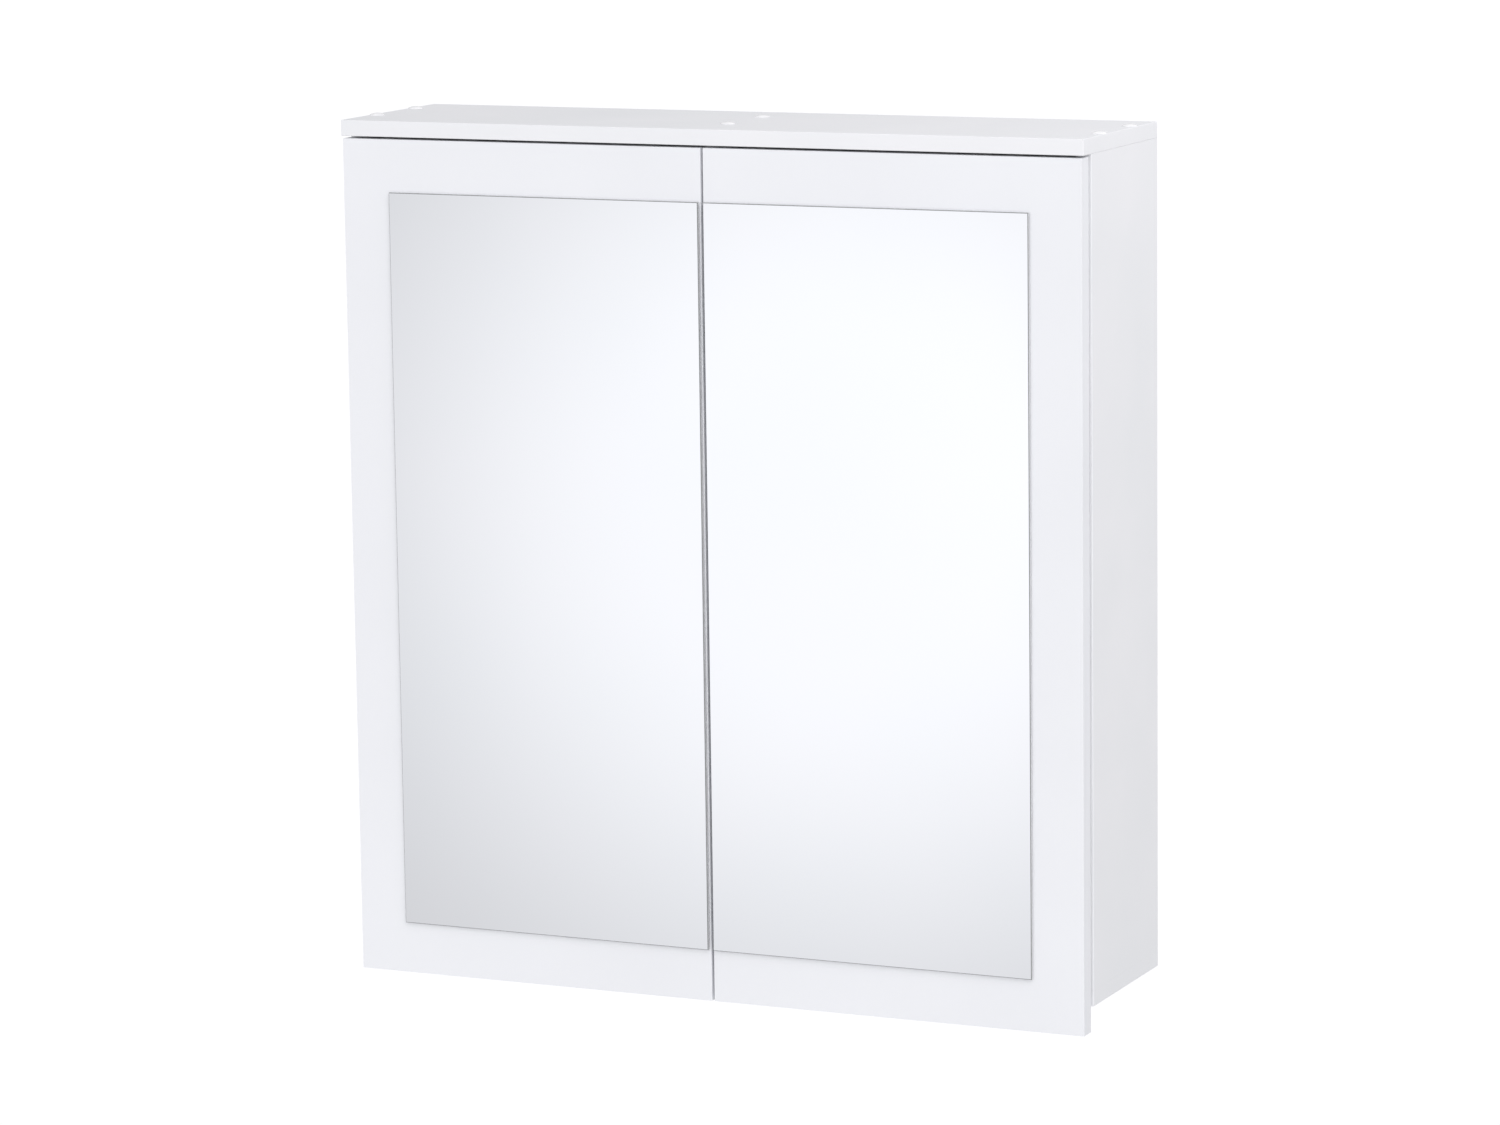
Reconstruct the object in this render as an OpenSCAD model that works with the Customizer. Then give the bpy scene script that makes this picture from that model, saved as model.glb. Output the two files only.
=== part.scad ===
// Hanging wall cabinet with two mirror-fronted doors and three bays each side.
//
// Frame: X runs to the right, Y into the wall and Z up. The origin lies on the
// wall plane, midway between the two wall screw holes in the hanging rails.
// Everything is symmetrical about X = 0, so most pieces are drawn on the left
// and mirrored. The boards are butted: top and bottom panels cover the sides.

/* [Carcass] */
// Overall width of the cabinet
cabinet_w = 600; // [560:5:640]
// Height over the top and bottom panels
carcass_h = 638.5; // [620:0.5:660]
// Depth from the wall to the faces of the door panels
cabinet_d = 153; // [148:1:165]
// Thickness of the carcass boards
board_t = 12; // [12:0.5:13]
// Thickness of the hardboard back
back_t = 3; // [2.5:0.5:4]
// Width of the rebate that the back lies in
rebate_w = 6; // [5:0.5:7]
// Height of the hanging rails under the top panel
rail_h = 50; // [44:2:60]

/* [Doors] */
// Thickness of the door panels
door_t = 14; // [14:0.5:18]
// Gap between the back of a door and the front edges of the sides
door_gap = 2; // [2:0.1:2.4]
// Gap between the top of a door and the top panel
top_slit = 1.8; // [1:0.1:3]
// How far each door stays short of the outer face of its side
door_reveal = 1.5; // [1:0.1:2]
// Gap between the two doors
centre_gap = 2; // [1.6:0.1:4]
// How far the doors hang below the bottom panel, as a finger grip
door_lip = 19; // [14:1:26]

/* [Mirrors] */
// Thickness of the mirror glass
mirror_t = 3; // [3:0.5:4]
// Thickness of the adhesive film behind the glass
adhesive_t = 0.5; // [0.3:0.1:1]
// Margin of bare door outside, above and below the glass
mirror_margin = 39.8; // [30:0.2:60]
// Margin of bare door at the meeting edge
meeting_margin = 1.1; // [0.5:0.1:3]

/* [Shelves] */
// Thickness of the loose shelves
shelf_t = 12; // [10:1:16]
// How far the shelf fronts sit behind the front edges of the sides
shelf_setback = 15; // [12:1:25]
// Play at each end of a shelf
shelf_play = 0.5; // [0.4:0.1:1]
// Height step between the holes for the shelf pins
pin_step = 32; // [25:1:40]

/* [Hinges] */
// Distance of a hinge centre from the top or bottom end of its door
hinge_inset = 95; // [80:1:110]
// Diameter of the hinge cup
cup_d = 35; // [33:1:37]
// Depth of the hinge cup in the door
cup_depth = 11.5; // [11.5:0.1:12.5]
// Wood left between the edge of the door and the cup
cup_edge = 2.5; // [2.3:0.1:2.5]
// Diameter of the hinge pin
hinge_pin_d = 2; // [1.8:0.1:2]

/* [Fastening] */
// Diameter of the clearance holes for the wall screws
wall_hole_d = 5.5; // [4.5:0.5:6.5]
// Diameter of the long joint screws
joint_screw_d = 4; // [3.5:0.5:4.5]
// Length of the long joint screws
joint_screw_l = 40; // [35:1:50]
// Diameter of the white caps over the top screws
cap_d = 12; // [10:0.5:14]
// Height that a cap stands above the top panel
cap_h = 1.8; // [1:0.1:2.5]

/* [Hidden] */

$fn = 48;
// Small overrun that keeps cutting shapes off the faces that they cut
cut = 1;
// Clearance between a fastener and its hole, on the radius
fit = 0.05;

// Carcass
half_w = cabinet_w / 2;
ceiling_z = rail_h / 2;
top_z = ceiling_z + board_t;
base_z = top_z - carcass_h;
floor_z = base_z + board_t;
inner_h = ceiling_z - floor_z;
front_y = door_t + door_gap - cabinet_d;
bay_w = (cabinet_w - 3 * board_t) / 2;
wall_hole_x = (board_t + bay_w) / 2;

// Doors, measured on the left one
door_w = (cabinet_w - centre_gap) / 2 - door_reveal;
door_z = base_z - door_lip;
door_h = ceiling_z - top_slit - door_z;
door_x = door_reveal - half_w;
door_back_y = door_t - cabinet_d;
mirror_w = door_w - mirror_margin - meeting_margin;
mirror_h = door_h - 2 * mirror_margin;

// Shelves and their pins
bay_h = (inner_h - 2 * shelf_t) / 3;
shelf_y = front_y + shelf_setback;
shelf_back_gap = 1;
pin_r = 2.5;
pin_in = 5.8;
pin_out = 8;
pin_rows_y = [front_y + 37, -27];

// Hinges, in a frame of their own: X from the outer face of the side, Y from
// the front edge of the side into the cabinet, Z from the middle of the hinge
hinge_zs = [door_z + hinge_inset, door_z + door_h - hinge_inset];
pin_from_edge = 5.5;
pin_from_back = 8.5;
hinge_pin_x = door_reveal + pin_from_edge;
hinge_pin_y = -door_gap - pin_from_back;
knuckle_r = 1.6;
knuckle_half = 3;
lug_r = 2.4;
lug_z = knuckle_half + 0.3;
lug_w = 4.1;
arm_t = 1.5;
arm_x = board_t + 5.5;
cup_x = door_reveal + cup_edge + cup_d / 2;
cup_wall = 0.8;
ear_t = 1;
ear_x = cup_x + 6;
ear_z = 24;
plate_y = 37;
plate_screw_z = 16;
small_screw_d = 3.5;
plate_base_t = 2;
plate_rib_t = 3.2;
arm_screw_ys = [30, 50];

// Joint screws: over the middle of the sides and of the divider
joint_xs = [board_t / 2 - half_w, 0, half_w - board_t / 2];
joint_ys = [front_y + 32, -42];
socket_r = 1.5;
socket_depth = 2.2;

// Dowels between the hanging rails and the upright boards
dowel_r = 3;
dowel_in_board = 5.8;
dowel_in_rail = 14;
dowel_zs = [-rail_h / 4, rail_h / 4];

// Nails that hold the back panel
nail_r = 0.8;
nail_l = 11;
nail_head_r = 1.5;
nail_head_t = 0.8;
nail_inset = rebate_w / 2;

WHITE = [0.94, 0.94, 0.95];
HARDBOARD = [0.90, 0.90, 0.89];
STEEL = [0.74, 0.75, 0.77];
GLASS = [0.80, 0.86, 0.88];
PLASTIC = [0.97, 0.97, 0.97];
BEECH = [0.82, 0.68, 0.48];

// ---------- shapes that repeat ----------

module board(at, size) {
    translate(at)
        cube(size);
}

// The same shape on the left and on the right
module both_sides() {
    children();
    mirror([1, 0, 0])
        children();
}

// Countersunk screw along -Z with the top of its head at Z = 0
module screw_body(length, r, grow = 0) {
    head_r = 1.95 * r;
    head_h = head_r - r + 0.4;
    tip_h = 1.5 * r;
    translate([0, 0, -length + tip_h])
        cylinder(r = r + grow, h = length - tip_h);
    translate([0, 0, -length])
        cylinder(r1 = 0.3 * r + grow, r2 = r + grow, h = tip_h);
    translate([0, 0, -head_h])
        cylinder(r1 = r + grow, r2 = head_r + grow, h = head_h);
}

module screw(length, r) {
    difference() {
        screw_body(length, r);
        translate([0, 0, -socket_depth])
            cylinder(r = socket_r, h = socket_depth + cut, $fn = 6);
    }
}

// Places for the joint screws in the top panel; they point down
module at_top_joints() {
    for (x = joint_xs, y = joint_ys)
        translate([x, y, top_z])
            children();
}

// Places for the joint screws in the bottom panel; they point up
module at_bottom_joints() {
    for (x = joint_xs, y = joint_ys)
        translate([x, y, base_z])
            rotate([180, 0, 0])
                children();
}

module joint_bores() {
    at_top_joints()
        screw_body(joint_screw_l, joint_screw_d / 2, fit);
    at_bottom_joints()
        screw_body(joint_screw_l, joint_screw_d / 2, fit);
}

// Flat-headed nail along -Y, its head flush with the back of the panel
module nail(grow = 0) {
    rotate([90, 0, 0]) {
        cylinder(r = nail_r + grow, h = nail_l);
        cylinder(r = nail_head_r + grow, h = nail_head_t);
    }
}

module nails(grow = 0) {
    side_x = half_w - board_t + nail_inset;
    for (x = [-side_x, 0, side_x], i = [0 : 4])
        translate([x, 0, floor_z + inner_h * (i + 0.5) / 5])
            nail(grow);
    for (x = [-bay_w / 2, bay_w / 2], z = [floor_z - nail_inset, ceiling_z + nail_inset])
        translate([x, 0, z])
            nail(grow);
}

// Dowels of the left rail, along X through both of its ends
module dowels_left(grow = 0) {
    for (z = dowel_zs, x = [board_t - half_w - dowel_in_board, -board_t / 2 - dowel_in_rail])
        translate([x - grow, -back_t - board_t / 2, z])
            rotate([0, 90, 0])
                cylinder(r = dowel_r + grow, h = dowel_in_board + dowel_in_rail + 2 * grow);
}

// Bores for shelf pins in an upright board that spans x0 to x1
module pin_bores(x0, x1) {
    for (y = pin_rows_y, shelf = [1, 2], step = [-1, 0, 1])
        translate([x0, y, shelf_z(shelf) - pin_r - fit + step * pin_step])
            rotate([0, 90, 0])
                cylinder(r = pin_r + fit, h = x1 - x0);
}

function shelf_z(shelf) = floor_z + shelf * bay_h + (shelf - 1) * shelf_t;

// Puts a hinge part of the left side at its height
module at_hinge(z) {
    translate([-half_w, front_y, z])
        children();
}

module at_plate_screws() {
    for (z = [-plate_screw_z, plate_screw_z])
        translate([board_t + plate_base_t, plate_y, z])
            rotate([0, 90, 0])
                children();
}

module at_cup_screws() {
    for (z = [-ear_z, ear_z])
        translate([ear_x, -door_gap + ear_t, z])
            rotate([-90, 0, 0])
                children();
}

module wall_bores() {
    for (x = [-wall_hole_x, wall_hole_x])
        translate([x, cut, 0])
            rotate([90, 0, 0])
                cylinder(d = wall_hole_d, h = back_t + board_t + 2 * cut);
}

// ---------- carcass boards ----------

module top_panel() {
    color(WHITE)
        difference() {
            board([-half_w, -cabinet_d, ceiling_z], [cabinet_w, cabinet_d, board_t]);
            board([board_t - rebate_w - half_w, -back_t, ceiling_z - cut],
                  [cabinet_w - 2 * (board_t - rebate_w), back_t + cut, rebate_w + cut]);
            joint_bores();
            nails(fit);
        }
}

module bottom_panel() {
    color(WHITE)
        difference() {
            board([-half_w, front_y, base_z], [cabinet_w, -front_y, board_t]);
            board([board_t - rebate_w - half_w, -back_t, floor_z - rebate_w],
                  [cabinet_w - 2 * (board_t - rebate_w), back_t + cut, rebate_w + cut]);
            joint_bores();
            nails(fit);
        }
}

module side_board() {
    difference() {
        board([-half_w, front_y, floor_z], [board_t, -front_y, inner_h]);
        board([board_t - rebate_w - half_w, -back_t, floor_z - cut],
              [rebate_w + cut, back_t + cut, inner_h + 2 * cut]);
        joint_bores();
        nails(fit);
        dowels_left(fit);
        pin_bores(board_t - half_w - pin_in - fit, board_t - half_w + cut);
        for (z = hinge_zs)
            at_hinge(z)
                at_plate_screws()
                    screw_body(plate_base_t + 9, small_screw_d / 2, fit);
    }
}

module left_side() {
    color(WHITE)
        side_board();
}

module right_side() {
    color(WHITE)
        mirror([1, 0, 0])
            side_board();
}

module centre_divider() {
    color(WHITE)
        difference() {
            board([-board_t / 2, front_y, floor_z], [board_t, -front_y - back_t, inner_h]);
            joint_bores();
            nails(fit);
            both_sides()
                dowels_left(fit);
            pin_bores(-board_t / 2 - cut, board_t / 2 + cut);
        }
}

module back_panel() {
    color(HARDBOARD)
        difference() {
            board([board_t - rebate_w - half_w, -back_t, floor_z - rebate_w],
                  [cabinet_w - 2 * (board_t - rebate_w), back_t, inner_h + 2 * rebate_w]);
            nails(fit);
            wall_bores();
        }
}

module rail_board() {
    difference() {
        board([board_t - half_w, -back_t - board_t, -rail_h / 2], [bay_w, board_t, rail_h]);
        wall_bores();
        dowels_left(fit);
    }
}

module left_hanging_rail() {
    color(WHITE)
        rail_board();
}

module right_hanging_rail() {
    color(WHITE)
        mirror([1, 0, 0])
            rail_board();
}

module rail_dowels() {
    color(BEECH)
        both_sides()
            dowels_left();
}

// ---------- shelves ----------

module shelf_board(shelf) {
    board([board_t - half_w + shelf_play, shelf_y, shelf_z(shelf)],
          [bay_w - 2 * shelf_play, -shelf_y - back_t - shelf_back_gap, shelf_t]);
}

module left_lower_shelf() {
    color(WHITE)
        shelf_board(1);
}

module left_upper_shelf() {
    color(WHITE)
        shelf_board(2);
}

module right_lower_shelf() {
    color(WHITE)
        mirror([1, 0, 0])
            shelf_board(1);
}

module right_upper_shelf() {
    color(WHITE)
        mirror([1, 0, 0])
            shelf_board(2);
}

// Pins of one bay: a shank in the board, a collar against it and a peg
module bay_pins() {
    collar_r = 3.4;
    collar_t = 0.4;
    for (y = pin_rows_y, shelf = [1, 2], end = [0, 1])
        translate([end == 0 ? board_t - half_w : -board_t / 2, y, shelf_z(shelf) - pin_r - fit])
            rotate([0, end == 0 ? 90 : -90, 0]) {
                translate([0, 0, -pin_in])
                    cylinder(r = pin_r, h = pin_in + pin_out);
                difference() {
                    cylinder(r = collar_r, h = collar_t);
                    board([end == 0 ? -2 * collar_r : pin_r, -collar_r, -cut],
                          [end == 0 ? 2 * collar_r - pin_r : 2 * collar_r, 2 * collar_r, 2 * cut]);
                }
            }
}

module left_shelf_pins() {
    color(STEEL)
        bay_pins();
}

module right_shelf_pins() {
    color(STEEL)
        mirror([1, 0, 0])
            bay_pins();
}

// ---------- carcass fasteners ----------

module top_screws() {
    color(STEEL)
        at_top_joints()
            screw(joint_screw_l, joint_screw_d / 2);
}

module bottom_screws() {
    color(STEEL)
        at_bottom_joints()
            screw(joint_screw_l, joint_screw_d / 2);
}

// Low cap with a bevelled rim and a stem that plugs into the socket of the screw
module top_screw_caps() {
    shoulder_d = 0.92 * cap_d;
    crown_d = 0.72 * cap_d;
    shoulder_z = 0.7 * cap_h;
    rim_z = 0.35 * cap_h;
    stem_r = 1.2;
    stem_l = 1.8;
    color(PLASTIC)
        at_top_joints() {
            cylinder(d = cap_d, h = rim_z);
            translate([0, 0, rim_z])
                cylinder(d1 = cap_d, d2 = shoulder_d, h = shoulder_z - rim_z);
            translate([0, 0, shoulder_z])
                cylinder(d1 = shoulder_d, d2 = crown_d, h = cap_h - shoulder_z);
            translate([0, 0, -stem_l])
                cylinder(r = stem_r, h = stem_l + rim_z);
        }
}

module back_nails() {
    color(STEEL)
        nails();
}

// ---------- hinges: the half on the carcass ----------

module hinge_plate() {
    wing_r = 5.5;
    rib_half = 5;
    rib_y = [22, 58];
    difference() {
        union() {
            board([board_t, rib_y[0], -rib_half], [plate_base_t, rib_y[1] - rib_y[0], 2 * rib_half]);
            board([board_t + plate_base_t - cut / 2, rib_y[0], -rib_half],
                  [plate_rib_t + cut / 2, rib_y[1] - rib_y[0], 2 * rib_half]);
            board([board_t, plate_y - wing_r, -plate_screw_z], [plate_base_t, 2 * wing_r, 2 * plate_screw_z]);
            for (z = [-plate_screw_z, plate_screw_z])
                translate([board_t, plate_y, z])
                    rotate([0, 90, 0])
                        cylinder(r = wing_r, h = plate_base_t);
        }
        at_plate_screws()
            screw_body(plate_base_t + 9, small_screw_d / 2, fit);
        at_arm_screws()
            machine_screw(fit);
    }
}

// Round-headed machine screw along -Z with its head on Z = 0
module machine_screw(grow = 0) {
    translate([0, 0, -arm_t - 0.3 - plate_rib_t + 0.5])
        cylinder(r = 2 + grow, h = arm_t + 0.3 + plate_rib_t - 0.5 + cut / 2);
    cylinder(r = 3.4 + grow, h = 1.6);
}

module at_arm_screws() {
    for (y = arm_screw_ys)
        translate([arm_x + arm_t, y, 0])
            rotate([0, 90, 0])
                children();
}

// Cranked arm: a channel over the plate, and a neck that reaches into the cup
// and ends in a knuckle round the hinge pin
module hinge_arm() {
    neck_half = 4.5;
    flange_gap = 5.6;
    flange_t = 1.5;
    flange_x = board_t + plate_base_t + 0.5;
    channel_y = [14, 60];
    foot_y = hinge_pin_y - knuckle_r;
    step_x = hinge_pin_x + 4;
    difference() {
        union() {
            translate([hinge_pin_x, hinge_pin_y, -knuckle_half])
                cylinder(r = knuckle_r, h = 2 * knuckle_half);
            board([hinge_pin_x, foot_y, -knuckle_half], [step_x - hinge_pin_x + cut, arm_t, 2 * knuckle_half]);
            board([step_x, foot_y, -neck_half], [arm_x + arm_t - step_x, arm_t, 2 * neck_half]);
            board([arm_x, foot_y, -neck_half], [arm_t, channel_y[0] - foot_y + cut, 2 * neck_half]);
            board([arm_x, channel_y[0], -flange_gap - flange_t],
                  [arm_t, channel_y[1] - channel_y[0], 2 * (flange_gap + flange_t)]);
            for (z = [-flange_gap - flange_t, flange_gap])
                board([flange_x, channel_y[0], z], [arm_x - flange_x + cut, channel_y[1] - channel_y[0], flange_t]);
        }
        translate([hinge_pin_x, hinge_pin_y, -knuckle_half - cut])
            cylinder(r = hinge_pin_d / 2 + fit, h = 2 * (knuckle_half + cut));
        at_arm_screws()
            machine_screw(fit);
    }
}

module left_lower_hinge_plate() {
    color(STEEL)
        at_hinge(hinge_zs[0])
            hinge_plate();
}

module left_upper_hinge_plate() {
    color(STEEL)
        at_hinge(hinge_zs[1])
            hinge_plate();
}

module right_lower_hinge_plate() {
    mirror([1, 0, 0])
        left_lower_hinge_plate();
}

module right_upper_hinge_plate() {
    mirror([1, 0, 0])
        left_upper_hinge_plate();
}

module left_lower_hinge_arm() {
    color(STEEL)
        at_hinge(hinge_zs[0])
            hinge_arm();
}

module left_upper_hinge_arm() {
    color(STEEL)
        at_hinge(hinge_zs[1])
            hinge_arm();
}

module right_lower_hinge_arm() {
    mirror([1, 0, 0])
        left_lower_hinge_arm();
}

module right_upper_hinge_arm() {
    mirror([1, 0, 0])
        left_upper_hinge_arm();
}

module hinge_plate_screws() {
    color(STEEL)
        both_sides()
            for (z = hinge_zs)
                at_hinge(z)
                    at_plate_screws()
                        screw(plate_base_t + 9, small_screw_d / 2);
}

module hinge_arm_screws() {
    slot_w = 0.8;
    color(STEEL)
        both_sides()
            for (z = hinge_zs)
                at_hinge(z)
                    at_arm_screws()
                        difference() {
                            machine_screw();
                            for (turn = [0, 90])
                                rotate([0, 0, turn])
                                    board([-2, -slot_w / 2, 0.6], [4, slot_w, 2]);
                        }
}

// ---------- doors ----------

module door_board() {
    difference() {
        board([door_x, -cabinet_d, door_z], [door_w, door_t, door_h]);
        for (z = hinge_zs)
            at_hinge(z) {
                translate([cup_x, -door_gap + cut, 0])
                    rotate([90, 0, 0])
                        cylinder(r = cup_d / 2 + 0.1, h = cup_depth + 0.1 + cut);
                at_cup_screws()
                    screw_body(ear_t + 9, small_screw_d / 2, fit);
            }
    }
}

module left_door_panel() {
    color(WHITE)
        door_board();
}

module right_door_panel() {
    color(WHITE)
        mirror([1, 0, 0])
            door_board();
}

module mirror_pane() {
    board([door_x + mirror_margin, -cabinet_d - adhesive_t - mirror_t, door_z + mirror_margin],
          [mirror_w, mirror_t, mirror_h]);
}

module left_mirror() {
    color(GLASS)
        mirror_pane();
}

module right_mirror() {
    color(GLASS)
        mirror([1, 0, 0])
            mirror_pane();
}

// Strips of double-sided film, set in from the edges of the glass
module adhesive_strips() {
    strip_w = 30;
    strip_inset = 4;
    strips = 4;
    span = mirror_w - 2 * strip_inset - strip_w;
    for (i = [0 : strips - 1])
        board([door_x + mirror_margin + strip_inset + i * span / (strips - 1),
               -cabinet_d - adhesive_t, door_z + mirror_margin + strip_inset],
              [strip_w, adhesive_t, mirror_h - 2 * strip_inset]);
}

module left_mirror_adhesive() {
    color(PLASTIC)
        adhesive_strips();
}

module right_mirror_adhesive() {
    color(PLASTIC)
        mirror([1, 0, 0])
            adhesive_strips();
}

// ---------- hinges: the half on the door ----------

// A disc of the cup's bore or outside, from the mouth down to a depth
module cup_disc(r, depth, over = 0) {
    translate([cup_x, -door_gap + ear_t + over, 0])
        rotate([90, 0, 0])
            cylinder(r = r, h = depth + ear_t + over);
}

// Two lugs that stand on the floor of the cup and hold the ends of the pin
module pin_lugs() {
    cup_floor_y = -door_gap - cup_depth;
    for (z = [-lug_z - lug_w, lug_z]) {
        translate([hinge_pin_x, hinge_pin_y, z])
            cylinder(r = lug_r, h = lug_w);
        board([hinge_pin_x - lug_r, cup_floor_y, z], [2 * lug_r, hinge_pin_y - cup_floor_y, lug_w]);
    }
}

// Pressed cup with two ears; its mouth faces the cabinet when the door is shut
module hinge_cup() {
    ear_r = 6;
    difference() {
        union() {
            difference() {
                union() {
                    cup_disc(cup_d / 2, cup_depth);
                    board([ear_x - ear_r, -door_gap, -ear_z], [2 * ear_r, ear_t, 2 * ear_z]);
                    for (z = [-ear_z, ear_z])
                        translate([ear_x, -door_gap + ear_t, z])
                            rotate([90, 0, 0])
                                cylinder(r = ear_r, h = ear_t);
                }
                cup_disc(cup_d / 2 - cup_wall, cup_depth - cup_wall, cut);
            }
            intersection() {
                pin_lugs();
                cup_disc(cup_d / 2 - cup_wall / 2, cup_depth);
            }
        }
        translate([hinge_pin_x, hinge_pin_y, -lug_z - lug_w])
            cylinder(d = hinge_pin_d, h = 2 * (lug_z + lug_w));
        at_cup_screws()
            screw_body(ear_t + 9, small_screw_d / 2, fit);
    }
}

module hinge_pin() {
    translate([hinge_pin_x, hinge_pin_y, -lug_z - lug_w])
        cylinder(d = hinge_pin_d, h = 2 * (lug_z + lug_w));
}

module left_lower_hinge_cup() {
    color(STEEL)
        at_hinge(hinge_zs[0])
            hinge_cup();
}

module left_upper_hinge_cup() {
    color(STEEL)
        at_hinge(hinge_zs[1])
            hinge_cup();
}

module right_lower_hinge_cup() {
    mirror([1, 0, 0])
        left_lower_hinge_cup();
}

module right_upper_hinge_cup() {
    mirror([1, 0, 0])
        left_upper_hinge_cup();
}

module left_lower_hinge_pin() {
    color(STEEL)
        at_hinge(hinge_zs[0])
            hinge_pin();
}

module left_upper_hinge_pin() {
    color(STEEL)
        at_hinge(hinge_zs[1])
            hinge_pin();
}

module right_lower_hinge_pin() {
    mirror([1, 0, 0])
        left_lower_hinge_pin();
}

module right_upper_hinge_pin() {
    mirror([1, 0, 0])
        left_upper_hinge_pin();
}

module left_cup_screws() {
    color(STEEL)
        for (z = hinge_zs)
            at_hinge(z)
                at_cup_screws()
                    screw(ear_t + 9, small_screw_d / 2);
}

module right_cup_screws() {
    mirror([1, 0, 0])
        left_cup_screws();
}

// Soft discs on the back of a door that meet the edge of the bottom panel
module left_door_buffers() {
    buffer_r = 4;
    buffer_t = door_gap - 0.3;
    color(PLASTIC)
        for (x = [-centre_gap / 2 - 12, -half_w / 2])
            translate([x, door_back_y, base_z + board_t / 2])
                rotate([-90, 0, 0])
                    cylinder(r = buffer_r, h = buffer_t);
}

module right_door_buffers() {
    mirror([1, 0, 0])
        left_door_buffers();
}

top_panel();
bottom_panel();
left_side();
right_side();
centre_divider();
back_panel();
left_hanging_rail();
right_hanging_rail();
rail_dowels();
left_lower_shelf();
left_upper_shelf();
right_lower_shelf();
right_upper_shelf();
left_shelf_pins();
right_shelf_pins();
top_screws();
bottom_screws();
top_screw_caps();
back_nails();
left_lower_hinge_plate();
left_upper_hinge_plate();
right_lower_hinge_plate();
right_upper_hinge_plate();
left_lower_hinge_arm();
left_upper_hinge_arm();
right_lower_hinge_arm();
right_upper_hinge_arm();
hinge_plate_screws();
hinge_arm_screws();
left_door_panel();
right_door_panel();
left_mirror();
right_mirror();
left_mirror_adhesive();
right_mirror_adhesive();
left_lower_hinge_cup();
left_upper_hinge_cup();
right_lower_hinge_cup();
right_upper_hinge_cup();
left_lower_hinge_pin();
left_upper_hinge_pin();
right_lower_hinge_pin();
right_upper_hinge_pin();
left_cup_screws();
right_cup_screws();
left_door_buffers();
right_door_buffers();
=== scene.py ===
import math

import bmesh
import bpy
from mathutils import Matrix, Vector


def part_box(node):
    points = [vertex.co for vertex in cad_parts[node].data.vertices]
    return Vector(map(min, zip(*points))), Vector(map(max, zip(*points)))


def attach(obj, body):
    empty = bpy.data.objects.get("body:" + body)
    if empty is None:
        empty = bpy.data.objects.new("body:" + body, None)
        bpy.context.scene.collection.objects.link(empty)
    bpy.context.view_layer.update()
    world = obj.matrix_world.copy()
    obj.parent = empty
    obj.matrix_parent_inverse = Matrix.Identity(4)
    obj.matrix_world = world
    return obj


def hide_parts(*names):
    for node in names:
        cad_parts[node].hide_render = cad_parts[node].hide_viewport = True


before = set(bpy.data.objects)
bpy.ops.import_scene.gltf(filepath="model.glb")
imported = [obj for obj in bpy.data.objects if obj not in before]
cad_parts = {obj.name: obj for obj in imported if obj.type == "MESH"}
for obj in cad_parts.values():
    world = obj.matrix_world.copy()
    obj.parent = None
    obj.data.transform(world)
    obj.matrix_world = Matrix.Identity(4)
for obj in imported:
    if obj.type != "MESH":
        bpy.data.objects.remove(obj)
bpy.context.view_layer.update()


# ---------------------------------------------------------------- camera
# A long lens a good four metres away, to the right of the cabinet and a little above it, looks
# down on the doors, the right side and the top. It has no shift and no depth of field.
bpy.ops.object.select_all(action="DESELECT")
bpy.ops.object.camera_add()
camera = bpy.context.object
camera.name = "studio_camera"
camera.data.lens = 132.8
camera.data.sensor_width = 36
camera.data.sensor_fit = "HORIZONTAL"
camera.data.dof.use_dof = False
camera_place = (1.702, -3.840, 0.386)
camera_turn = math.radians(24.329)
camera_tilt = math.radians(90 - 9.395)
camera_roll = math.radians(-0.748)
camera.matrix_world = (
    Matrix.Translation(camera_place)
    @ Matrix.Rotation(camera_turn, 4, "Z")
    @ Matrix.Rotation(camera_tilt, 4, "X")
    @ Matrix.Rotation(camera_roll, 4, "Z")
)
bpy.context.scene.camera = camera
bpy.context.scene.view_settings.view_transform = "Standard"


# ---------------------------------------------------------------- studio surround
# The cabinet hangs in a white studio, and the camera sees nothing but white behind it. A pale grey
# room lights it, brightest high up in front to the right, and the two mirrors show that room with
# one soft round glow in it.
def linear(hex_colour):
    """Turns an sRGB colour such as "#EFF0F2" into the linear colour that a shader takes."""
    channels = [int(hex_colour[i : i + 2], 16) / 255 for i in (1, 3, 5)]
    straight = [c / 12.92 if c <= 0.04045 else ((c + 0.055) / 1.055) ** 2.4 for c in channels]
    return (*straight, 1.0)


def add_node(tree, kind, settings=(), **inputs):
    """Adds a node with its settings. An input named i0, i1 ... is a value or a link for that input."""
    node = tree.nodes.new(kind)
    for name, value in dict(settings).items():
        setattr(node, name, value)
    for name, value in inputs.items():
        key = int(name[1:]) if name[1:].isdigit() else name.replace("_", " ")
        if isinstance(value, bpy.types.NodeSocket):
            tree.links.new(value, node.inputs[key])
        else:
            node.inputs[key].default_value = value
    return node


# Ways are directions out from the cabinet, one unit long. The core and the edge of the glow are
# distances from its middle on that unit sphere, and every brightness is a share of full white.
room_grey = 0.625
bright_way = (0.358, -0.849, 0.387)
bright_gain = 1.07
bright_focus = 4.0
sweep_white = 1.05
glow_way = (-0.393, -0.907, -0.154)
glow_core = 0.029
glow_edge = 0.121
glow_gain = 0.3

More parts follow.
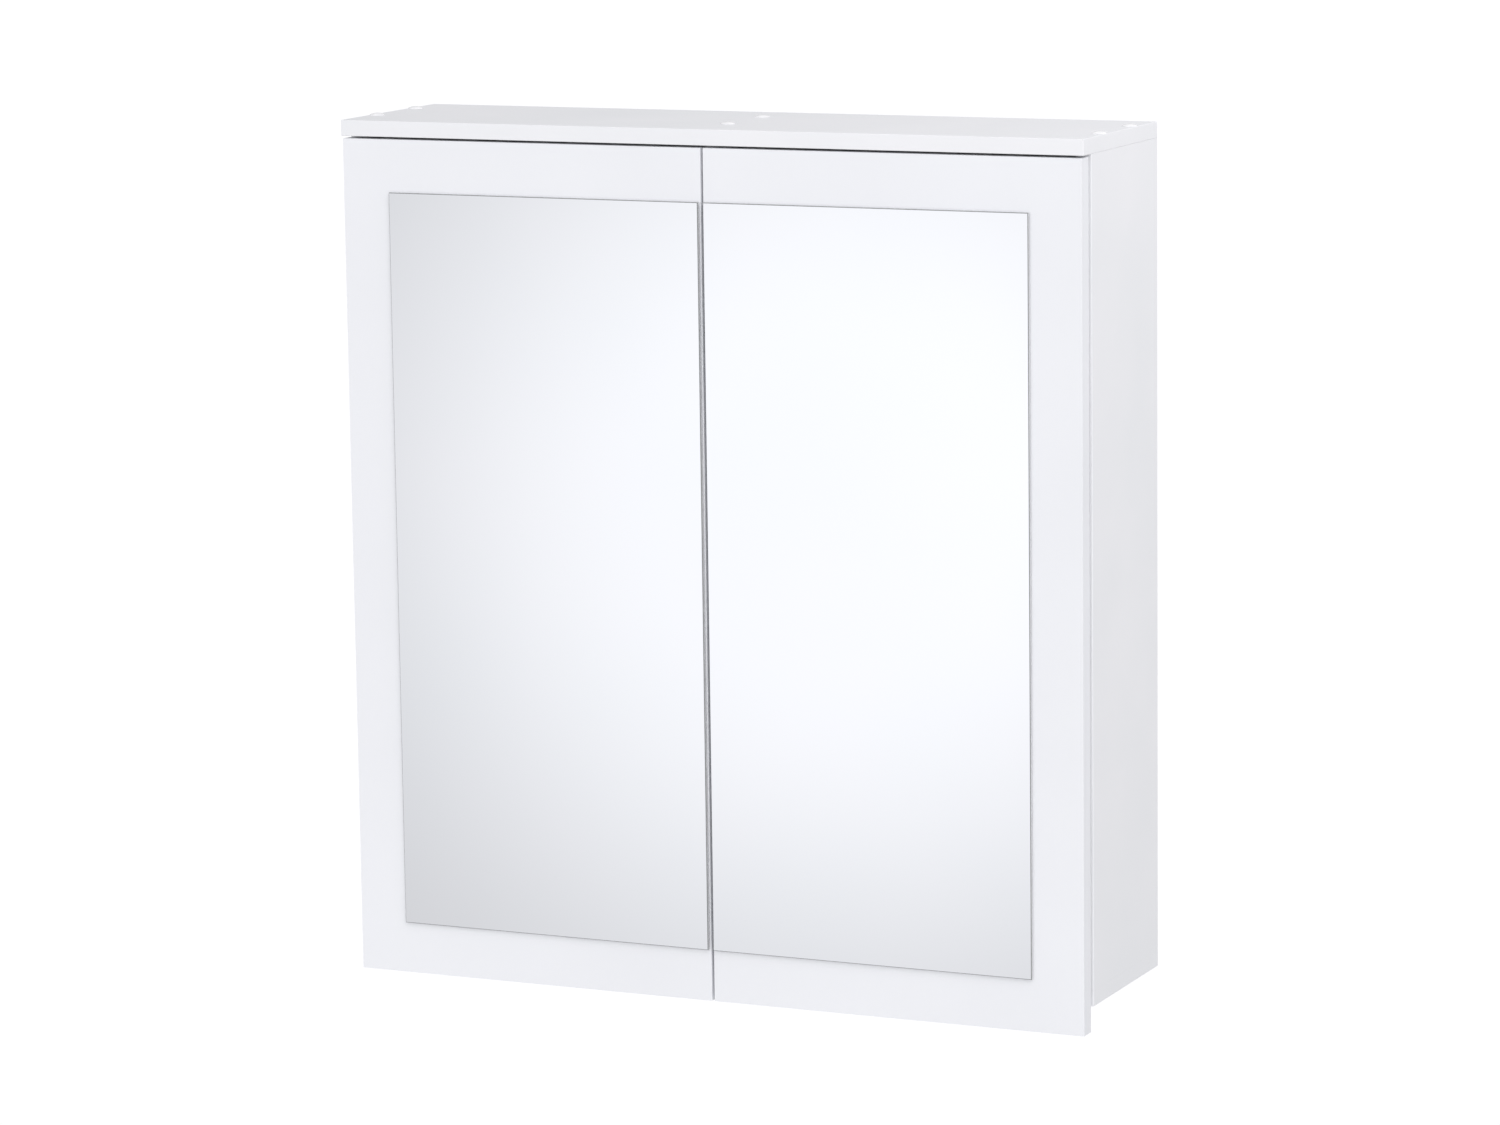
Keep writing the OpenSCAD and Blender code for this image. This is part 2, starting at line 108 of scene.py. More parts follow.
world = bpy.data.worlds.new("studio_surround")
bpy.context.scene.world = world
world.use_nodes = True
sky = world.node_tree
way = add_node(sky, "ShaderNodeTexCoord").outputs["Generated"]
facing = add_node(sky, "ShaderNodeVectorMath", {"operation": "DOT_PRODUCT"}, i0=way, i1=bright_way)
faced = add_node(sky, "ShaderNodeMath", {"operation": "MAXIMUM"}, i0=facing.outputs["Value"], i1=0.0)
spread = add_node(
    sky, "ShaderNodeMath", {"operation": "POWER"}, i0=faced.outputs["Value"], i1=bright_focus
)
room = add_node(
    sky, "ShaderNodeMath", {"operation": "MULTIPLY_ADD"},
    i0=spread.outputs["Value"], i1=bright_gain, i2=room_grey,
)
off_glow = add_node(sky, "ShaderNodeVectorMath", {"operation": "DISTANCE"}, i0=way, i1=glow_way)
glow = add_node(
    sky, "ShaderNodeMapRange", {"interpolation_type": "SMOOTHSTEP"},
    Value=off_glow.outputs["Value"],
    From_Min=glow_core, From_Max=glow_edge, To_Min=glow_gain, To_Max=0.0,
)
lit_room = add_node(
    sky, "ShaderNodeMath", {"operation": "ADD"}, i0=room.outputs["Value"], i1=glow.outputs["Result"]
)
seen = add_node(sky, "ShaderNodeLightPath").outputs["Is Camera Ray"]
brightness = add_node(
    sky, "ShaderNodeMapRange", Value=seen, To_Min=lit_room.outputs["Value"], To_Max=sweep_white
)
backdrop = sky.nodes["Background"]
backdrop.inputs["Color"].default_value = linear("#FDFDFF")
sky.links.new(brightness.outputs["Result"], backdrop.inputs["Strength"])


# ---------------------------------------------------------------- lights
# One small soft box hangs over the right end, so that the side and the top panel fade away from it.
# A large one stands high up in front to the right, and its light reaches a little into the gaps.
def add_soft_box(name, place, aim, size, power, colour):
    """A square area light at a place, turned to face the point that it is aimed at."""
    bpy.ops.object.select_all(action="DESELECT")
    bpy.ops.object.light_add(type="AREA", location=place)
    box = bpy.context.object
    box.name = name
    box.data.shape = "SQUARE"
    box.data.size = size
    box.data.energy = power
    box.data.color = linear(colour)[:3]
    box.rotation_euler = (Vector(aim) - Vector(place)).to_track_quat("-Z", "Y").to_euler()
    box.visible_camera = False


add_soft_box(
    "side_soft_box", place=(1.0, 0.0, 0.7), aim=(0.28, -0.08, -0.05),
    size=0.5, power=2.2, colour="#FCFCFF",
)
add_soft_box(
    "front_soft_box", place=(1.9, -2.3, 2.4), aim=(0.0, -0.08, -0.2),
    size=1.6, power=16.0, colour="#FCFCFF",
)


# ---------------------------------------------------------------- floor
# Pale painted concrete in faint patches most of a metre wide, far enough below the hanging cabinet
# that its underside can be looked at. It thins out into the white sweep towards its rim.
floor_z = -2.6
floor_radius = 4.0
fade_from = 1.2
fade_to = 3.8
bpy.ops.object.select_all(action="DESELECT")
bpy.ops.mesh.primitive_circle_add(
    vertices=96, radius=floor_radius, fill_type="NGON", location=(0, 0, floor_z)
)
bpy.ops.object.transform_apply(location=True, rotation=True, scale=True)
studio_floor = bpy.context.object
studio_floor.name = "studio_floor"
floor_paint = bpy.data.materials.new("pale_floor_paint")
floor_paint.use_nodes = True
tree = floor_paint.node_tree
spot = add_node(tree, "ShaderNodeTexCoord").outputs["Object"]
patches = add_node(tree, "ShaderNodeTexNoise", Vector=spot, Scale=1.2, Detail=3.0)
tint = add_node(tree, "ShaderNodeValToRGB", i0=patches.outputs[0])
tint.color_ramp.elements[0].color = linear("#EFEFED")
tint.color_ramp.elements[1].color = linear("#F5F5F4")
coat = tree.nodes["Principled BSDF"]
tree.links.new(tint.outputs["Color"], coat.inputs["Base Color"])
coat.inputs["Roughness"].default_value = 0.6
from_middle = add_node(
    tree, "ShaderNodeVectorMath", {"operation": "DISTANCE"}, i0=spot, i1=(0, 0, floor_z)
)
thin_out = add_node(
    tree, "ShaderNodeMapRange", {"interpolation_type": "SMOOTHSTEP"},
    Value=from_middle.outputs["Value"], From_Min=fade_from, From_Max=fade_to, To_Min=0.0, To_Max=1.0,
)
clear = add_node(tree, "ShaderNodeBsdfTransparent")
faded = add_node(
    tree, "ShaderNodeMixShader",
    i0=thin_out.outputs["Result"], i1=coat.outputs["BSDF"], i2=clear.outputs["BSDF"],
)
tree.links.new(faded.outputs["Shader"], tree.nodes["Material Output"].inputs["Surface"])
studio_floor.data.materials.append(floor_paint)


# ---------------------------------------------------------------- carcass boards
# Five 12 mm fibreboards: two sides and a divider stand between the top and the bottom panel. All
# are sprayed with satin white lacquer on the faces and front edges. Bores, rebates and the edges
# towards the wall are bare board. Every edge is eased with a light pass of sandpaper.
mm = 0.001
touching = 0.02 * mm  # a point this close to a plane or a circle lies on it
same_point = 0.001 * mm


def only(*pieces):
    """Selects these pieces and nothing else, with the first of them active."""
    bpy.ops.object.select_all(action="DESELECT")
    for piece in pieces:
        piece.select_set(True)
    bpy.context.view_layer.objects.active = pieces[0]


def pick(kind, rule):
    """In edit mode, selects the edges or the faces of the active piece that the rule holds for."""
    bpy.ops.mesh.select_mode(type={"edges": "EDGE", "faces": "FACE"}[kind])
    bpy.ops.mesh.select_all(action="DESELECT")
    mesh = bpy.context.edit_object.data
    parts = bmesh.from_edit_mesh(mesh)
    for part in getattr(parts, kind):
        if rule(part):
            part.select_set(True)
    parts.select_flush_mode()
    bmesh.update_edit_mesh(mesh)


def whole_copy(node, name):
    """A piece of its own in the shape of a CAD node, its loose triangles merged into whole faces."""
    piece = bpy.data.objects.new(name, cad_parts[node].data.copy())
    piece.data.name = name
    bpy.context.scene.collection.objects.link(piece)
    piece.data.materials.clear()
    only(piece)
    bpy.ops.mesh.customdata_custom_splitnormals_clear()
    bpy.ops.object.mode_set(mode="EDIT")
    bpy.ops.mesh.select_all(action="SELECT")
    bpy.ops.mesh.remove_doubles(threshold=same_point)
    flat_within = math.radians(0.5)
    bpy.ops.mesh.dissolve_limited(angle_limit=flat_within)
    bpy.ops.object.mode_set(mode="OBJECT")
    return piece


def shade(piece, degrees):
    """Shades a piece smooth across edges below this angle, and keeps its large faces flat."""
    only(piece)
    bpy.ops.object.shade_smooth_by_angle(angle=math.radians(degrees))
    flat = piece.modifiers.new("flat_faces", "WEIGHTED_NORMAL")
    flat.keep_sharp = True
    bpy.ops.object.modifier_apply(modifier=flat.name)


def ease_outline(piece, low, high, radius, rounds=3):
    """Rounds over the straight edges that run along the box of a board, and keeps it in that box."""
    def runs_along_box(edge):
        """Holds where both ends lie on the same two sides of the box."""
        start, end = (v.co for v in edge.verts)
        flush = 0
        for i in range(3):
            on_side = min(abs(start[i] - low[i]), abs(start[i] - high[i])) < touching
            flush += on_side and abs(start[i] - end[i]) < touching
        return flush >= 2

    only(piece)
    bpy.ops.object.mode_set(mode="EDIT")
    pick("edges", runs_along_box)
    bpy.ops.mesh.bevel(offset=radius, segments=rounds, affect="EDGES")
    bpy.ops.mesh.select_all(action="SELECT")
    bpy.ops.mesh.remove_doubles(threshold=same_point)
    bpy.ops.object.mode_set(mode="OBJECT")
    for vertex in piece.data.vertices:
        vertex.co = [min(max(vertex.co[i], low[i]), high[i]) for i in range(3)]
    shade(piece, degrees=35)


def settle(piece, body, slot, *nodes):
    """Fixes a finished piece to its body and stands it in for its CAD nodes. The slot is not used."""
    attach(piece, body)
    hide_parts(*nodes)


def start_material(name):
    """A new material, its node tree, its shader and the object coordinates that patterns read."""
    material = bpy.data.materials.new(name)
    material.use_nodes = True
    tree = material.node_tree
    place = add_node(tree, "ShaderNodeTexCoord").outputs["Object"]
    return material, tree, tree.nodes["Principled BSDF"], place


def two_tone(tree, pattern, dark, light):
    """A colour that runs from dark to light over the middle of a pattern's range."""
    ramp = add_node(tree, "ShaderNodeValToRGB", i0=pattern)
    for stop, position, colour in zip(ramp.color_ramp.elements, (0.3, 0.7), (dark, light)):
        stop.position = position
        stop.color = linear(colour)
    return ramp.outputs["Color"]


# Satin polyurethane lacquer, sprayed and left to level: nearly even white with a faint cloudiness
# over a hand's width, a soft sheen that varies a little, and orange peel about 3 mm across.
board_lacquer, tree, coat, place = start_material("satin_white_lacquer")
clouds = add_node(tree, "ShaderNodeTexNoise", Vector=place, Scale=1 / (110 * mm), Detail=2.0)
sheen = add_node(tree, "ShaderNodeTexNoise", Vector=place, Scale=1 / (35 * mm), Detail=3.0)
peel = add_node(tree, "ShaderNodeTexNoise", Vector=place, Scale=1 / (3 * mm), Detail=1.5)
tree.links.new(two_tone(tree, clouds.outputs[0], "#F1F2F4", "#F5F5F7"), coat.inputs["Base Color"])
matt = add_node(tree, "ShaderNodeMapRange", Value=sheen.outputs[0], To_Min=0.34, To_Max=0.46)
tree.links.new(matt.outputs["Result"], coat.inputs["Roughness"])
skin = add_node(tree, "ShaderNodeBump", Strength=0.25, Distance=0.06 * mm, Height=peel.outputs[0])
tree.links.new(skin.outputs["Normal"], coat.inputs["Normal"])
coat.inputs["IOR"].default_value = 1.5

# Medium-density fibreboard where the cutter has been: tan felted fibre in clumps of two or three
# millimetres, quite matt, with tufts of about a millimetre standing up.
bare_board, tree, coat, place = start_material("bare_fibreboard")
tufts = add_node(tree, "ShaderNodeTexVoronoi", Vector=place, Scale=1 / (1.2 * mm))
fibre = add_node(tree, "ShaderNodeTexNoise", Vector=place, Scale=1 / (2.5 * mm), Detail=4.0)
tree.links.new(two_tone(tree, fibre.outputs[0], "#A98A63", "#C9AD86"), coat.inputs["Base Color"])
coat.inputs["Roughness"].default_value = 0.85
fuzz = add_node(
    tree, "ShaderNodeBump", Strength=0.6, Distance=0.2 * mm, Height=tufts.outputs["Distance"]
)
tree.links.new(fuzz.outputs["Normal"], coat.inputs["Normal"])


def make_board(node, name, body, slot, finish, radius):
    """The CAD board with eased edges, lacquered but for its bores, its rebates and its wall side."""
    board = whole_copy(node, name)
    low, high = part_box(node)
    board.data.materials.append(finish)
    board.data.materials.append(bare_board)
    for face in board.data.polygons:
        gaps = [min(face.center[i] - low[i], high[i] - face.center[i]) for i in range(3)]
        inside = min(gaps) > touching
        on_wall = face.center.y > -touching
        face.material_index = int(inside or on_wall)
    ease_outline(board, low, high, radius)
    settle(board, body, slot, node)


board_edge = 0.5 * mm
for node, name in (
    ("top_panel", "top_board"),
    ("bottom_panel", "bottom_board"),
    ("left_side", "left_side_board"),
    ("right_side", "right_side_board"),
    ("centre_divider", "divider_board"),
):
    make_board(node, name, "carcass", "lacquered_board", board_lacquer, board_edge)


# ---------------------------------------------------------------- hanging rails
# A 50 mm strip of the same board under the top panel in each half, doweled between a side and
# the divider. The wall screws go through the back and these rails, and carry the weight.
for side in ("left", "right"):
    make_board(
        f"{side}_hanging_rail", f"{side}_rail_board", "carcass",
        "lacquered_board", board_lacquer, board_edge,
    )

# Beech dowels: pale reddish wood, with flecks of grain about 25 mm long and 1.4 mm wide that run
# along the dowel.
beech, tree, coat, place = start_material("turned_beech")
along = add_node(tree, "ShaderNodeMapping", Vector=place, Scale=(40, 700, 700))
grain = add_node(tree, "ShaderNodeTexNoise", Vector=along.outputs["Vector"], Scale=1.0, Detail=4.0)
tree.links.new(two_tone(tree, grain.outputs[0], "#B98F63", "#D8B78C"), coat.inputs["Base Color"])
coat.inputs["Roughness"].default_value = 0.65


def refinish(node, material):
    """Gives a CAD node that keeps its shape a better material."""
    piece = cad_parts[node]
    piece.data.materials.clear()
    piece.data.materials.append(material)


refinish("rail_dowels", beech)


# ---------------------------------------------------------------- back
# One sheet of 3 mm hardboard in the rebates. Its smooth face looks into the cabinet and is painted
# white; the face towards the wall is bare brown and keeps the print of the wire screen that it
# was pressed on. Flat-headed nails hold it.
hardboard_paint, tree, coat, place = start_material("white_painted_hardboard")
rolled = add_node(tree, "ShaderNodeTexNoise", Vector=place, Scale=1 / (2 * mm), Detail=3.0)
clouds = add_node(tree, "ShaderNodeTexNoise", Vector=place, Scale=1 / (150 * mm), Detail=2.0)
tree.links.new(two_tone(tree, clouds.outputs[0], "#E8E8E6", "#ECECEA"), coat.inputs["Base Color"])
coat.inputs["Roughness"].default_value = 0.6
skin = add_node(tree, "ShaderNodeBump", Strength=0.3, Distance=0.1 * mm, Height=rolled.outputs[0])
tree.links.new(skin.outputs["Normal"], coat.inputs["Normal"])

# Pressed hardboard: brown matted fibre in soft patches, with a screen print of 2 mm squares.
bare_hardboard, tree, coat, place = start_material("bare_pressed_hardboard")
fibre = add_node(
    tree, "ShaderNodeTexNoise", Vector=place, Scale=1 / (4 * mm), Detail=6.0, Roughness=0.65
)
tree.links.new(two_tone(tree, fibre.outputs[0], "#7F6042", "#A58560"), coat.inputs["Base Color"])
coat.inputs["Roughness"].default_value = 0.75
screen_pitch = 2 * mm
wave_scale = math.pi / (10 * screen_pitch)  # one wave of this node is pi / (10 * scale) metres long
screen = [
    add_node(
        tree, "ShaderNodeTexWave", {"bands_direction": axis, "wave_profile": "SIN"},
        Vector=place, Scale=wave_scale, Distortion=0.4, Detail=1.0,
    ).outputs["Fac"]
    for axis in ("X", "Z")
]
weave = add_node(tree, "ShaderNodeMath", {"operation": "MULTIPLY"}, i0=screen[0], i1=screen[1])
dents = add_node(tree, "ShaderNodeBump", Strength=0.5, Distance=0.3 * mm, Height=weave.outputs["Value"])
tree.links.new(dents.outputs["Normal"], coat.inputs["Normal"])

sheet_edge = 0.2 * mm
back_sheet = whole_copy("back_panel", "back_sheet")
back_sheet.data.materials.append(hardboard_paint)
back_sheet.data.materials.append(bare_hardboard)
for face in back_sheet.data.polygons:
    looks_inside = face.normal.y < -0.5
    face.material_index = int(not looks_inside)
ease_outline(back_sheet, *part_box("back_panel"), sheet_edge, rounds=1)
settle(back_sheet, "carcass", "painted_hardboard", "back_panel")

# Bright zinc plate: pale bluish metal with soft blotches where the crystals grew.
zinc_plate, tree, coat, place = start_material("bright_zinc_plate")
blotches = add_node(tree, "ShaderNodeTexNoise", Vector=place, Scale=1 / (2.5 * mm), Detail=3.0)
tree.links.new(two_tone(tree, blotches.outputs[0], "#B9BDC4", "#D3D6DA"), coat.inputs["Base Color"])
matt = add_node(tree, "ShaderNodeMapRange", Value=blotches.outputs[0], To_Min=0.22, To_Max=0.42)
tree.links.new(matt.outputs["Result"], coat.inputs["Roughness"])
coat.inputs["Metallic"].default_value = 1.0
refinish("back_nails", zinc_plate)


# ---------------------------------------------------------------- shelves
# Two loose shelves in each half, of the same lacquered board, on four pins each. Each pin has a
# shank in the board, a thin collar and a peg under the shelf.
def add_slab(name, low, high, radius):
    """A flat slab from its lowest to its highest corner, eased on all its edges."""
    low, high = Vector(low), Vector(high)
    bpy.ops.object.select_all(action="DESELECT")
    bpy.ops.mesh.primitive_cube_add(size=1, location=(low + high) / 2, scale=high - low)
    slab = bpy.context.object
    slab.name = slab.data.name = name
    bpy.ops.object.transform_apply(location=True, rotation=True, scale=True)
    ease_outline(slab, low, high, radius)
    return slab


shelf_edge = 0.8 * mm
for side in ("left", "right"):
    for level in ("lower", "upper"):
        node = f"{side}_{level}_shelf"
        shelf = add_slab(f"{side}_{level}_shelf_board", *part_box(node), shelf_edge)
        shelf.data.materials.append(board_lacquer)
        settle(shelf, "carcass", "lacquered_board", node)
    refinish(f"{side}_shelf_pins", zinc_plate)


# ---------------------------------------------------------------- joint screws and caps
# Long countersunk screws with a hexagon socket hold the top and the bottom panel to the upright
# boards. On top, moulded white caps plug into the sockets: a short rim and a low dome, 12 mm wide.
refinish("top_screws", zinc_plate)
refinish("bottom_screws", zinc_plate)

# Polystyrene, injection moulded against a polished tool: bright clean white with a clear gloss.
cap_plastic, tree, coat, place = start_material("moulded_white_polystyrene")
flow = add_node(tree, "ShaderNodeTexNoise", Vector=place, Scale=1 / (4 * mm), Detail=2.0)
tree.links.new(two_tone(tree, flow.outputs[0], "#F4F4F5", "#FAFAFA"), coat.inputs["Base Color"])
matt = add_node(tree, "ShaderNodeMapRange", Value=flow.outputs[0], To_Min=0.18, To_Max=0.28)
tree.links.new(matt.outputs["Result"], coat.inputs["Roughness"])
coat.inputs["IOR"].default_value = 1.58

cap_low, cap_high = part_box("top_screw_caps")
board_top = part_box("top_panel")[1].z
cad_cap_r = 6 * mm
cap_r = 5.92 * mm  # a hair under the nominal 6 mm
cap_rim = 0.55 * mm
rim_edge = 0.12 * mm
cap_rise = cap_high.z - board_top
dome_r = (cap_r**2 + (cap_rise - cap_rim) ** 2) / (2 * (cap_rise - cap_rim))
dome_rings = 7
cap_xs = (cap_low.x + cad_cap_r, 0.0, cap_high.x - cad_cap_r)
cap_ys = (cap_low.y + cad_cap_r, cap_high.y - cad_cap_r)
cap_places = [Vector((x, y, board_top)) for x in cap_xs for y in cap_ys]

bpy.ops.object.select_all(action="DESELECT")
rim_middle = cap_places[0] + Vector((0, 0, cap_rim / 2))
bpy.ops.mesh.primitive_cylinder_add(vertices=48, radius=cap_r, depth=cap_rim, location=rim_middle)
first_cap = bpy.context.object
bpy.ops.object.transform_apply(location=True, rotation=True, scale=True)
bpy.ops.object.mode_set(mode="EDIT")
pick("faces", lambda face: all(v.co.z > board_top + cap_rim - touching for v in face.verts))

# The dome is part of a sphere, drawn up ring by ring from the flat top of the rim.
ring_r = cap_r
ring_z = cap_rim
for ring in range(1, dome_rings + 1):
    lean = math.asin(cap_r / dome_r) * (1 - ring / (dome_rings + 1))
    next_r = dome_r * math.sin(lean)
    next_z = cap_rise - dome_r * (1 - math.cos(lean))
    bpy.ops.mesh.extrude_region_move(TRANSFORM_OT_translate={"value": (0, 0, next_z - ring_z)})
    narrower = next_r / ring_r
    bpy.ops.transform.resize(value=(narrower, narrower, 1), center_override=cap_places[0])
    ring_r, ring_z = next_r, next_z
bpy.ops.mesh.extrude_region_move(TRANSFORM_OT_translate={"value": (0, 0, cap_rise - ring_z)})
bpy.ops.mesh.merge(type="CENTER")


def rings_the_rim(edge):
    """Holds for the edges round the foot of the rim and round its shoulder, below the dome."""
    on_rim = all(abs((v.co.xy - cap_places[0].xy).length - cap_r) < touching for v in edge.verts)
    return on_rim and abs(edge.verts[0].co.z - edge.verts[1].co.z) < touching


pick("edges", rings_the_rim)
bpy.ops.mesh.bevel(offset=rim_edge, segments=2, affect="EDGES")
bpy.ops.object.mode_set(mode="OBJECT")
shade(first_cap, degrees=50)
caps = [first_cap]
for cap_place in cap_places[1:]:
    cap = bpy.data.objects.new("cap", first_cap.data.copy())
    bpy.context.scene.collection.objects.link(cap)
    cap.data.transform(Matrix.Translation(cap_place - cap_places[0]))
    caps.append(cap)
only(*caps)
bpy.ops.object.join()
first_cap.name = first_cap.data.name = "screw_caps"
first_cap.data.materials.append(cap_plastic)
settle(first_cap, "carcass", "white_plastic", "top_screw_caps")


# ---------------------------------------------------------------- hinges on the sides
# Each hinge has a pressed plate screwed to the side, and a cranked arm clamped on it by two
# machine screws. Both are steel under bright nickel, with rolled-over edges.
nickel_plate, tree, coat, place = start_material("bright_nickel_plate")
waves = add_node(tree, "ShaderNodeTexNoise", Vector=place, Scale=1 / (6 * mm), Detail=3.0)
tree.links.new(two_tone(tree, waves.outputs[0], "#C3BDB3", "#D6D1C8"), coat.inputs["Base Color"])
matt = add_node(tree, "ShaderNodeMapRange", Value=waves.outputs[0], To_Min=0.14, To_Max=0.30)
tree.links.new(matt.outputs["Result"], coat.inputs["Roughness"])
coat.inputs["Metallic"].default_value = 1.0

plate_edge = 0.25 * mm
arm_edge = 0.2 * mm
crisp_degrees = 50


def press_metal(node, name, body, radius):
    """A pressed metal piece: the CAD shape with all of its crisp edges rolled over."""
    piece = whole_copy(node, name)
    roll = piece.modifiers.new("rolled_edges", "BEVEL")
    roll.width = radius
    roll.segments = 2
    roll.use_clamp_overlap = False
    roll.limit_method = "ANGLE"
    roll.angle_limit = math.radians(crisp_degrees)
    only(piece)
    bpy.ops.object.modifier_apply(modifier=roll.name)
    shade(piece, degrees=40)
    piece.data.materials.append(nickel_plate)
    settle(piece, body, "nickel_steel", node)


for side in ("left", "right"):
    for level in ("lower", "upper"):
        press_metal(f"{side}_{level}_hinge_plate", f"{side}_{level}_side_plate", "carcass", plate_edge)
        press_metal(f"{side}_{level}_hinge_arm", f"{side}_{level}_cranked_arm", "carcass", arm_edge)
refinish("hinge_plate_screws", nickel_plate)
refinish("hinge_arm_screws", nickel_plate)


# ---------------------------------------------------------------- door leaves
# Two plain leaves of 14 mm fibreboard, lacquered all round like the carcass, in a slightly colder
# white. Each is bored on its back for two hinge cups.
door_lacquer, tree, coat, place = start_material("satin_white_door_lacquer")
clouds = add_node(tree, "ShaderNodeTexNoise", Vector=place, Scale=1 / (160 * mm), Detail=2.0)
sheen = add_node(tree, "ShaderNodeTexNoise", Vector=place, Scale=1 / (40 * mm), Detail=3.0)
peel = add_node(tree, "ShaderNodeTexNoise", Vector=place, Scale=1 / (3.5 * mm), Detail=1.5)
tree.links.new(two_tone(tree, clouds.outputs[0], "#F1F2F5", "#F4F5F8"), coat.inputs["Base Color"])
matt = add_node(tree, "ShaderNodeMapRange", Value=sheen.outputs[0], To_Min=0.30, To_Max=0.42)
tree.links.new(matt.outputs["Result"], coat.inputs["Roughness"])
skin = add_node(tree, "ShaderNodeBump", Strength=0.25, Distance=0.06 * mm, Height=peel.outputs[0])
tree.links.new(skin.outputs["Normal"], coat.inputs["Normal"])
coat.inputs["IOR"].default_value = 1.5

door_edge = 0.3 * mm
for side in ("left", "right"):
    make_board(
        f"{side}_door_panel", f"{side}_door_leaf", f"{side}_door",
        "lacquered_door", door_lacquer, door_edge,
    )


# ---------------------------------------------------------------- mirrors
# A pane of 3 mm float glass on each door, silvered behind and covered with grey backing paint.
# Its edges are ground, with a 45 degree arris round the front. Double-sided foam film holds it.
silvered_glass, tree, coat, place = start_material("silvered_float_glass")
film = add_node(tree, "ShaderNodeTexNoise", Vector=place, Scale=1 / (200 * mm), Detail=2.0)
tree.links.new(two_tone(tree, film.outputs[0], "#F8FAFD", "#FAFBFE"), coat.inputs["Base Color"])
haze = add_node(tree, "ShaderNodeMapRange", Value=film.outputs[0], To_Min=0.0, To_Max=0.02)
tree.links.new(haze.outputs["Result"], coat.inputs["Roughness"])
coat.inputs["Metallic"].default_value = 1.0

# Ground glass, frosty with the fine scratches of the grinding belt. The edge is a pale grey. The
# arris is darker, because one looks through it at the edge of the backing paint.
ground_glass = {}
for name, dark, light in (
    ("ground_glass_edge", "#D1D2D3", "#E0E1E2"),
    ("ground_glass_arris", "#77797A", "#8F9192"),
):
    ground_glass[name], tree, coat, place = start_material(name)
    scratches = add_node(tree, "ShaderNodeTexNoise", Vector=place, Scale=1 / (0.8 * mm), Detail=4.0)
    tree.links.new(two_tone(tree, scratches.outputs[0], dark, light), coat.inputs["Base Color"])
    coat.inputs["Roughness"].default_value = 0.35
    coat.inputs["IOR"].default_value = 1.52
    grit = add_node(
        tree, "ShaderNodeBump", Strength=0.3, Distance=0.05 * mm, Height=scratches.outputs[0]
    )
    tree.links.new(grit.outputs["Normal"], coat.inputs["Normal"])

# Backing paint over the silver: dull grey and matt, with faint streaks from the coating rollers.
backing_paint, tree, coat, place = start_material("grey_mirror_backing")
streaks = add_node(tree, "ShaderNodeTexNoise", Vector=place, Scale=1 / (10 * mm), Detail=3.0)
tree.links.new(two_tone(tree, streaks.outputs[0], "#6C7072", "#7B8082"), coat.inputs["Base Color"])
coat.inputs["Roughness"].default_value = 0.7

# Polyethylene foam film: off-white with closed cells a fraction of a millimetre wide.
foam_film, tree, coat, place = start_material("white_foam_film")
cells = add_node(tree, "ShaderNodeTexVoronoi", Vector=place, Scale=1 / (0.6 * mm))
foam_white = two_tone(tree, cells.outputs["Distance"], "#D4D3CD", "#EDECE8")
tree.links.new(foam_white, coat.inputs["Base Color"])
coat.inputs["Roughness"].default_value = 0.8

arris = 0.5 * mm
back_chamfer = 0.3 * mm
silver, paint, ground_edge, ground_arris = range(4)
straight = 0.9  # how far a face's normal leans along the depth: 1 is square on to it
aslant = 0.5
for side in ("left", "right"):
    node = f"{side}_mirror"
    low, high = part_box(node)
    bpy.ops.object.select_all(action="DESELECT")
    bpy.ops.mesh.primitive_cube_add(size=1, location=(low + high) / 2, scale=high - low)
    pane = bpy.context.object
    pane.name = pane.data.name = f"{side}_mirror_pane"
    bpy.ops.object.transform_apply(location=True, rotation=True, scale=True)
    bpy.ops.object.mode_set(mode="EDIT")
    pick("edges", lambda edge: all(v.co.y < low.y + touching for v in edge.verts))
    bpy.ops.mesh.bevel(offset=arris, segments=1, affect="EDGES")
    pick("edges", lambda edge: all(v.co.y > high.y - touching for v in edge.verts))
    bpy.ops.mesh.bevel(offset=back_chamfer, segments=1, affect="EDGES")
    bpy.ops.object.mode_set(mode="OBJECT")
    for material in (silvered_glass, backing_paint, *ground_glass.values()):
        pane.data.materials.append(material)
    for face in pane.data.polygons:
        backwards = face.normal.y
        if backwards < -straight:
            face.material_index = silver
        elif backwards > straight:
            face.material_index = paint
        elif backwards < -aslant:
            face.material_index = ground_arris
        else:
            face.material_index = ground_edge
    settle(pane, f"{side}_door", "mirror_glass", node)
    refinish(f"{side}_mirror_adhesive", foam_film)


